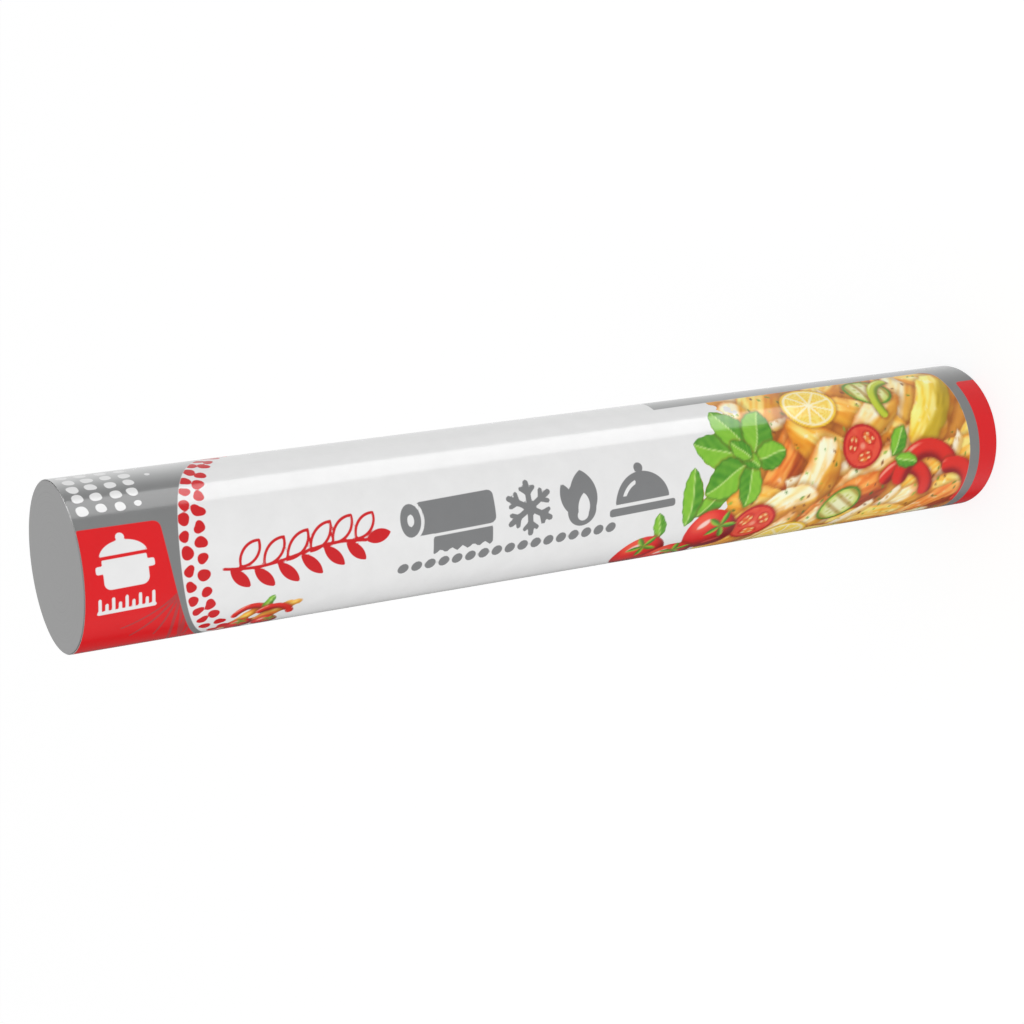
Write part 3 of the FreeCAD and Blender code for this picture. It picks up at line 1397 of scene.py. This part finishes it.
@dataclass(frozen=True)
class Patch:
    """Groups of faces over their own corners, and each corner's vertex and place in the flat layout."""

    groups: list[Indices]
    vertices: Indices
    places: Field

    def flipped(self) -> "Patch":
        """The same faces, turned to look the other way."""
        return Patch([group[:, ::-1] for group in self.groups], self.vertices, self.places)


@dataclass
class PrintedWrapper:
    """The sheet of printed paper: once round the foil, over its own first edge, and glued there.

    Sizes are in mm. The strips are heights in the flat layout from 0 to 1, where the print has the
    rest: one for the paper's inside, and one that its two ends share.
    """

    thickness: float = 0.12
    lap_width: float = 10.0
    crease_degrees: float = 35.0
    inside_strip: Pair = (0.03, 0.06)
    end_strip: Pair = (0.070, 0.095)
    outer_radius: float = field(init=False)
    low: float = field(init=False)
    high: float = field(init=False)
    roll_top: float = field(init=False)
    outer: Loop = field(init=False)
    inner: Loop = field(init=False)

    def __post_init__(self) -> None:
        """Takes the paper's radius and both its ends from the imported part, and draws its section."""
        lowest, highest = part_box("printed_wrapper")
        self.outer_radius = min(highest.x, -lowest.x, -lowest.y) / MM
        self.low = lowest.z / MM
        self.high = highest.z / MM
        self.roll_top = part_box("foil_roll")[1].z / MM
        self.outer, self.inner = self.section()

    def lift(self, radius: float) -> float:
        """The angle where a side leaves its arc for the line that climbs over the first edge."""
        return 180.0 - math.degrees(math.acos(radius / (radius + self.thickness)))

    def lifted(self, angles: Field, radius: float) -> Field:
        """Radii along a side: R on its arc, and R / cos(A - A0) on the line that leaves it at A0."""
        return radius / np.cos(np.radians(np.maximum(angles - self.lift(radius), 0.0)))

    def section(self) -> tuple[Loop, Loop]:
        """The paper's section as two loops with equally many points.

        Going round, the outer side is an arc, then the straight line that is tangent to it and climbs
        over the first edge, then the lap's arc one thickness further out. The inner side is one arc,
        the same climb one thickness lower, and the face of the first edge.

        Returns:
            The outer and the inner loop.
        """
        outer = self.outer_radius
        inner = outer - self.thickness
        lapped = outer + self.thickness
        lap = math.degrees(self.lap_width / lapped)
        # Degrees where each stretch starts, and its steps: closest over the printed side.
        marks = (
            (lap - 180.0, 6.0),
            (-112.0, 2.1),
            (-92.0, 1.25),
            (92.0, 2.1),
            (112.0, 6.0),
            (self.lift(outer), 2.0),
        )
        turn = stretches(marks, 180.0)
        over = stretches(((180.0, 4.2),), 180.0 + lap)[1:]
        outer_radii = np.append(self.lifted(turn, outer), np.full(len(over), lapped))
        inner_radii = np.append(self.lifted(turn, inner), np.full(len(over), inner))
        inner_angles = np.concatenate((turn, [180.0], over[:-1]))
        return Loop(np.append(turn, over), outer_radii), Loop(inner_angles, inner_radii)

    def rows(self) -> Field:
        """Places along the print where it has a ring of vertices, closest where it has fine detail."""
        marks = ((self.roll_top - self.high, 0.47), (36.0, 0.62), (84.0, 0.78), (158.0, 0.53), (291.0, 1.1))
        return stretches(marks, self.roll_top - self.low)

    def outside(self, along: Field) -> Patch:
        """The printed side, laid flat with most of the layout's height for what is seen from the front.

        Args:
            along: the rings' places along the print, in mm.

        Returns:
            A grid of faces that look outwards.
        """
        columns = len(self.outer.angles)
        u = across_layout(along / self.roll_top)
        v = np.interp(self.outer.angles, (-160.0, -116.0, 116.0, 210.0), (0.12, 0.18, 0.90, 0.98))
        v = np.append(v, 0.99)
        places = np.stack((np.repeat(u, columns + 1), np.tile(v, len(along))), axis=1)
        return Patch([ring_faces(len(along), columns)], ring_vertices(len(along), columns), places)

    def inside(self, start: int) -> Patch:
        """The bare side against the foil, in a strip below the print.

        Args:
            start: the first vertex of the inner loop at the upper end.

        Returns:
            One ring of faces that look at the foil.
        """
        columns = len(self.inner.angles)
        u = across_layout(np.linspace(0.0, 1.0, columns + 1))
        places = np.stack((np.tile(u, 2), np.repeat(self.inside_strip, columns + 1)), axis=1)
        return Patch([ring_faces(2, columns)], ring_vertices(2, columns, start), places).flipped()

    def end(self, outer_start: int, inner_start: int, upper: bool) -> Patch:
        """Closes one end between the loops, with a five-sided face at each edge of the lap.

        Args:
            outer_start: the first vertex of the outer loop at this end.
            inner_start: the first vertex of the inner loop at this end.
            upper: True at the upper end, whose faces look up.

        Returns:
            The ring of faces, laid out by angle and radius in a strip of its own.
        """
        columns = len(self.outer.angles)
        seam = int(np.searchsorted(self.outer.angles, 180.0))
        under = columns + 1
        turn = np.arange(seam)
        over = np.arange(seam + 1, columns - 2)
        first_edge = [seam, seam + 1, under + seam + 2, under + seam + 1, under + seam]
        free_edge = [columns - 2, columns - 1, columns, under + columns, under + columns - 1]
        groups = [
            np.stack((turn, turn + 1, under + turn + 1, under + turn), axis=1),
            np.stack((over, over + 1, under + over + 2, under + over + 1), axis=1),
            np.array([first_edge, free_edge]),
        ]
        loops = (self.outer, self.inner)
        angles = np.concatenate([np.append(loop.angles, loop.angles[0] + 360.0) for loop in loops])
        radii = np.concatenate([np.append(loop.radii, loop.radii[0]) for loop in loops])
        u = across_layout((angles - angles[0]) / 360.0)
        reach = 0.04 * (radii - radii.min())
        v = self.end_strip[1] - reach if upper else self.end_strip[0] + reach
        starts = (outer_start, inner_start)
        vertices = np.concatenate([ring_vertices(1, columns, start) for start in starts])
        patch = Patch(groups, vertices, np.stack((u, v), axis=1))
        return patch if upper else patch.flipped()

    def mesh(self) -> tuple[bpy.types.Mesh, Plane]:
        """Carries the section along the roll, from its upper end down.

        Returns:
            The closed mesh, and the print's places at its first vertices, which are the outer side's.
        """
        along = self.rows()
        columns = len(self.outer.angles)
        total = columns * len(along)
        ends = self.inner.at(np.array([self.high, self.low]))
        vertices = np.concatenate((self.outer.at(self.roll_top - along), ends))
        patches = (
            self.outside(along),
            self.inside(total),
            self.end(0, total, True),
            self.end(total - columns, total + columns, False),
        )
        groups = [patch.vertices[group] for patch in patches for group in patch.groups]
        mesh = new_mesh("wrapper_print", vertices, groups)
        places = [patch.places[group].ravel() for patch in patches for group in patch.groups]
        mesh.uv_layers.new(name="OFBake").data.foreach_set("uv", np.concatenate(places))
        print_y = np.radians(self.outer.angles) * self.outer_radius
        return mesh, Plane(np.repeat(along, columns), np.tile(print_y, len(along)))

    def store_print(self, mesh: bpy.types.Mesh, plane: Plane) -> None:
        """Stores each ink's field and the picture's colours on the mesh, for the material to read.

        Args:
            mesh: the wrapper's mesh.
            plane: the print's places at its first vertices.
        """
        design = PrintDesign(plane)
        unprinted = np.full(len(mesh.vertices) - len(plane.x), 50.0)
        for name, values in design.fields().items():
            padded = np.append(values, unprinted).astype(np.float32)
            mesh.attributes.new(name, "FLOAT", "POINT").data.foreach_set("value", padded)
        painted = np.ones((len(mesh.vertices), 4), np.float32)
        painted[: len(plane.x), :3] = linear(np.clip(design.canvas.colour, 0.0, 1.0))
        colours = mesh.attributes.new("picture_colour", "FLOAT_COLOR", "POINT")
        colours.data.foreach_set("color", painted.ravel())

    def build(self) -> bpy.types.Object:
        """Makes the piece, with its print and its paper.

        Returns:
            The piece that stands for the wrapper.
        """
        mesh, plane = self.mesh()
        self.store_print(mesh, plane)
        mesh.materials.append(OffsetPrintedPaper().build())
        piece = add_piece(mesh, "printed_wrapper_sheet", "printed_wrapper")
        mesh.set_sharp_from_angle(angle=math.radians(self.crease_degrees))
        return piece


@dataclass
class Roll:
    """The wound foil: a cylinder of revolution with eased rims and faintly stepped ends, in mm."""

    rim: float = 0.12
    step_depth: float = 0.012
    step_width: float = 0.9
    segments: int = 256
    end_rings: int = 96
    rim_steps: int = 4
    side_steps: int = 6

    def profile(self, radius: float, length: float) -> tuple[Field, Field]:
        """The outline from the middle of the lower end to the middle of the upper one.

        The end's face lies a little below the full height by depth * (1 - cos(2 pi r / width)) / 2,
        as turns do that were wound a little unevenly, and the rim is a quarter circle.

        Args:
            radius: the roll's radius in mm.
            length: the roll's length in mm.

        Returns:
            Radii and heights in mm, in order along the outline.
        """
        across = np.linspace(self.step_width / 4.0, radius - self.rim, self.end_rings)
        dip = self.step_depth * 0.5 * (1.0 - np.cos(2.0 * math.pi * across / self.step_width))
        dip *= smoothstep(0.0, 2.0, radius - self.rim - across)
        bend = np.linspace(0.0, math.pi / 2.0, self.rim_steps + 1)[1:]
        rim_radii = radius - self.rim + self.rim * np.sin(bend)
        rim_drop = self.rim * (1.0 - np.cos(bend))
        side = np.linspace(self.rim, length - self.rim, self.side_steps + 1)[1:-1]
        straight = np.full(len(side), radius)
        radii = np.concatenate((across, rim_radii, straight, rim_radii[::-1], across[::-1]))
        heights = np.concatenate((dip, rim_drop, side, length - rim_drop[::-1], length - dip[::-1]))
        return radii, heights

    def build(self) -> bpy.types.Object:
        """Turns the outline about the axis and closes it with a point at each end's middle.

        Returns:
            The piece that stands for the foil.
        """
        lowest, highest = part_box("foil_roll")
        radius = min(highest.x, highest.y, -lowest.x, -lowest.y) / MM
        radii, heights = self.profile(radius, (highest.z - lowest.z) / MM)
        angle = np.linspace(0.0, 2.0 * math.pi, self.segments, endpoint=False)
        across = np.outer(radii, np.cos(angle)).ravel()
        depth = np.outer(radii, np.sin(angle)).ravel()
        shell = np.stack((across, depth, np.repeat(heights, self.segments)), axis=1)
        poles = np.array([[0.0, 0.0, heights[0]], [0.0, 0.0, heights[-1]]])

        number = ring_vertices(len(radii), self.segments)
        rings = number.reshape(len(radii), -1)
        bottom = np.full(self.segments, len(shell))
        groups = [
            number[ring_faces(len(radii), self.segments)[:, ::-1]],
            np.stack((rings[0, 1:], rings[0, :-1], bottom), axis=1),
            np.stack((rings[-1, :-1], rings[-1, 1:], bottom + 1), axis=1),
        ]
        mesh = new_mesh("wound_foil", np.concatenate((shell, poles)), groups)
        mesh.materials.append(WoundFoil().build())
        return add_piece(mesh, "wound_foil_roll", "foil_roll")


def seen_directly(tree: bpy.types.NodeTree) -> bpy.types.NodeSocket:
    """1 for rays from the camera, from a mirror or through glass, and 0 for those that light things.

    Args:
        tree: the node tree of the world or of the floor's material.

    Returns:
        The socket with the 1 or 0.
    """
    path = node(tree, "ShaderNodeLightPath")
    seen = path.outputs["Is Camera Ray"]
    for ray in ("Is Glossy Ray", "Is Transmission Ray"):
        links = {0: seen, 1: path.outputs[ray]}
        seen = node(tree, "ShaderNodeMath", {"operation": "MAXIMUM"}, links).outputs[0]
    return seen


@dataclass(frozen=True)
class MatteWhiteBoard:
    """Coated white board, the studio's floor."""

    white: str = "#F2F2F2"
    lift: float = 0.7
    lift_glow: float = 1.10

    def build(self) -> bpy.types.Material:
        """A matte white, lifted by a glow that only the camera sees.

        Returns:
            The material.
        """
        # To the eye: plain white like the surround, with no grain and no gleam, and a soft grey
        # shadow where the roll keeps the light off it.
        material, tree = new_material("matte_white_board")
        matte = node(tree, "ShaderNodeBsdfDiffuse", {"Color": rgba(self.white)})
        glow = node(tree, "ShaderNodeEmission", {"Strength": self.lift_glow})
        share = node(
            tree,
            "ShaderNodeMath",
            {"operation": "MULTIPLY", 1: self.lift},
            {0: seen_directly(tree)},
        )
        mixed = node(
            tree,
            "ShaderNodeMixShader",
            links={0: share.outputs[0], 1: matte.outputs[0], 2: glow.outputs[0]},
        )
        node(tree, "ShaderNodeOutputMaterial", links={"Surface": mixed.outputs[0]})
        return material


@dataclass(frozen=True)
class LitPaperCard:
    """A paper card that is lit evenly from one upright edge to the other."""

    def build(self) -> bpy.types.Material:
        """A glow of the strength that is stored at the card's corners.

        Returns:
            The material.
        """
        # To the eye: nothing but its soft mirror image in the varnish.
        material, tree = new_material("lit_paper_card")
        level = node(tree, "ShaderNodeAttribute", {"attribute_name": "glow"})
        light = node(tree, "ShaderNodeEmission", links={"Strength": level.outputs["Fac"]})
        node(tree, "ShaderNodeOutputMaterial", links={"Surface": light.outputs[0]})
        material.cycles.emission_sampling = "NONE"
        return material


@dataclass(frozen=True)
class Card:
    """A tall card beside the roll that shows only in its varnish, as a gleam or a shade.

    The bearing is the angle in degrees from the print's side towards +X. The width, the distance and
    the heights of the edges are in metres. The glow is the brightness of its two upright edges, in
    order of bearing, where the white surround is 1.
    """

    name: str
    bearing: float
    width: float
    low: float
    high: float
    glow: Pair
    distance: float = 0.70

    def corners(self) -> list[Vector]:
        """Its four corners, in order round it.

        Returns:
            The corners in metres.
        """
        angle = math.radians(self.bearing)
        middle = Vector((math.sin(angle), -math.cos(angle), 0.0)) * self.distance
        edge = Vector((math.cos(angle), math.sin(angle), 0.0)) * (self.width / 2.0)
        low = Vector((0.0, 0.0, self.low))
        high = Vector((0.0, 0.0, self.high))
        return [middle - edge + low, middle + edge + low, middle + edge + high, middle - edge + high]


@dataclass
class Studio:
    """The white floor, the even light and the camera."""

    floor_half: float = 4.0
    sky_diffuse: float = 0.84
    camera_place: tuple[float, float, float] = (0.0, -0.50766, 0.44336)
    camera_right: tuple[float, float, float] = (-0.14674, -0.47551, -0.86738)
    camera_up: tuple[float, float, float] = (0.98916, -0.06515, -0.13163)
    lens_mm: float = 70.52
    sensor_mm: float = 36.0

    def build_world(self) -> None:
        """A white surround that lights the object evenly and shows as plain white."""
        world = bpy.data.worlds.new("studio")
        world.use_nodes = True
        tree = world.node_tree
        tree.nodes.clear()
        strength = node(
            tree,
            "ShaderNodeMapRange",
            {"To Min": self.sky_diffuse, "To Max": 1.0},
            {"Value": seen_directly(tree)},
        )
        sky = node(
            tree,
            "ShaderNodeBackground",
            {"Color": (1.0, 1.0, 1.0, 1.0)},
            {"Strength": strength.outputs["Result"]},
        )
        node(tree, "ShaderNodeOutputWorld", links={"Surface": sky.outputs[0]})
        bpy.context.scene.world = world

    def flat_piece(
        self, name: str, corners: list[Vector], material: bpy.types.Material
    ) -> bpy.types.Object:
        """One flat face through four corners, for the studio.

        Args:
            name: the piece's name.
            corners: its corners in metres, in order.
            material: its surface.

        Returns:
            The new object.
        """
        mesh = bpy.data.meshes.new(name)
        mesh.from_pydata([tuple(corner) for corner in corners], [], [(0, 1, 2, 3)])
        mesh.materials.append(material)
        piece = bpy.data.objects.new(name, mesh)
        bpy.context.scene.collection.objects.link(piece)
        return piece

    def build_floor(self) -> None:
        """A pale floor that shows as white to the camera and keeps the roll's shadow."""
        h = self.floor_half
        corners = [Vector((x, y, 0.0)) for x, y in ((-h, -h), (h, -h), (h, h), (-h, h))]
        self.flat_piece("floor", corners, MatteWhiteBoard().build()).visible_glossy = False

    def build_card(self, card: Card, material: bpy.types.Material) -> None:
        """Sets up a card that only the varnish sees.

        Args:
            card: its place, its size and the glow of its edges.
            material: the surface that all cards share.
        """
        piece = self.flat_piece(card.name, card.corners(), material)
        stored = piece.data.attributes.new("glow", "FLOAT", "POINT")
        stored.data.foreach_set("value", (*card.glow, *card.glow[::-1]))
        piece.visible_camera = False
        piece.visible_diffuse = False
        piece.visible_shadow = False
        piece.visible_transmission = False

    def add_lamp(self, name: str, place: tuple[float, float, float], size: float, power: float) -> None:
        """A large soft lamp that looks at the middle of the roll and makes no highlight of its own.

        Args:
            name: the lamp's name.
            place: where it hangs, in metres.
            size: its width in metres.
            power: its power in watts.
        """
        data = bpy.data.lights.new(name, "AREA")
        data.shape = "DISK"
        data.size = size
        data.energy = power
        lamp = bpy.data.objects.new(name, data)
        bpy.context.scene.collection.objects.link(lamp)
        lamp.location = place
        aim = Vector((0.0, 0.0, 0.15)) - Vector(place)
        lamp.rotation_euler = aim.to_track_quat("-Z", "Y").to_euler()
        lamp.visible_glossy = False

    def build_camera(self) -> None:
        """The camera, from its place and the directions of its right and its up."""
        right = Vector(self.camera_right).normalized()
        up = Vector(self.camera_up)
        up = (up - right * up.dot(right)).normalized()
        back = right.cross(up)
        data = bpy.data.cameras.new("camera")
        data.lens = self.lens_mm
        data.sensor_width = self.sensor_mm
        data.clip_start = 0.01
        camera = bpy.data.objects.new("camera", data)
        bpy.context.scene.collection.objects.link(camera)
        turned = Matrix((right, up, back)).transposed().to_4x4()
        camera.matrix_world = Matrix.Translation(Vector(self.camera_place)) @ turned
        bpy.context.scene.camera = camera

    def build(self) -> None:
        """Sets the stage."""
        bpy.context.scene.view_settings.view_transform = "Standard"
        self.build_world()
        self.build_floor()
        cards = (
            Card("gleam_card", bearing=74.4, width=0.352, low=-0.45, high=0.45, glow=(6.2, 6.2)),
            Card("rim_card", bearing=147.0, width=0.85, low=-1.6, high=0.32, glow=(0.85, 0.85)),
            Card("fading_card", bearing=-102.0, width=0.455, low=-1.6, high=0.32, glow=(0.14, 1.0)),
            Card("shade_card", bearing=-151.0, width=0.86, low=-1.6, high=0.32, glow=(0.14, 0.14)),
        )
        lit_paper = LitPaperCard().build()
        for card in cards:
            self.build_card(card, lit_paper)
        self.add_lamp("soft_key", place=(-0.25, -1.3, 0.9), size=1.2, power=3.8)
        self.build_camera()


def main() -> None:
    """Builds the studio and both pieces."""
    logging.basicConfig(level=logging.INFO, format="%(message)s")
    Studio().build()
    for assembly in (Roll(), PrintedWrapper()):
        piece = assembly.build()
        LOG.info("%s: %d faces", piece.name, len(piece.data.polygons))
    bpy.context.view_layer.update()


if __name__ == "__main__":
    main()
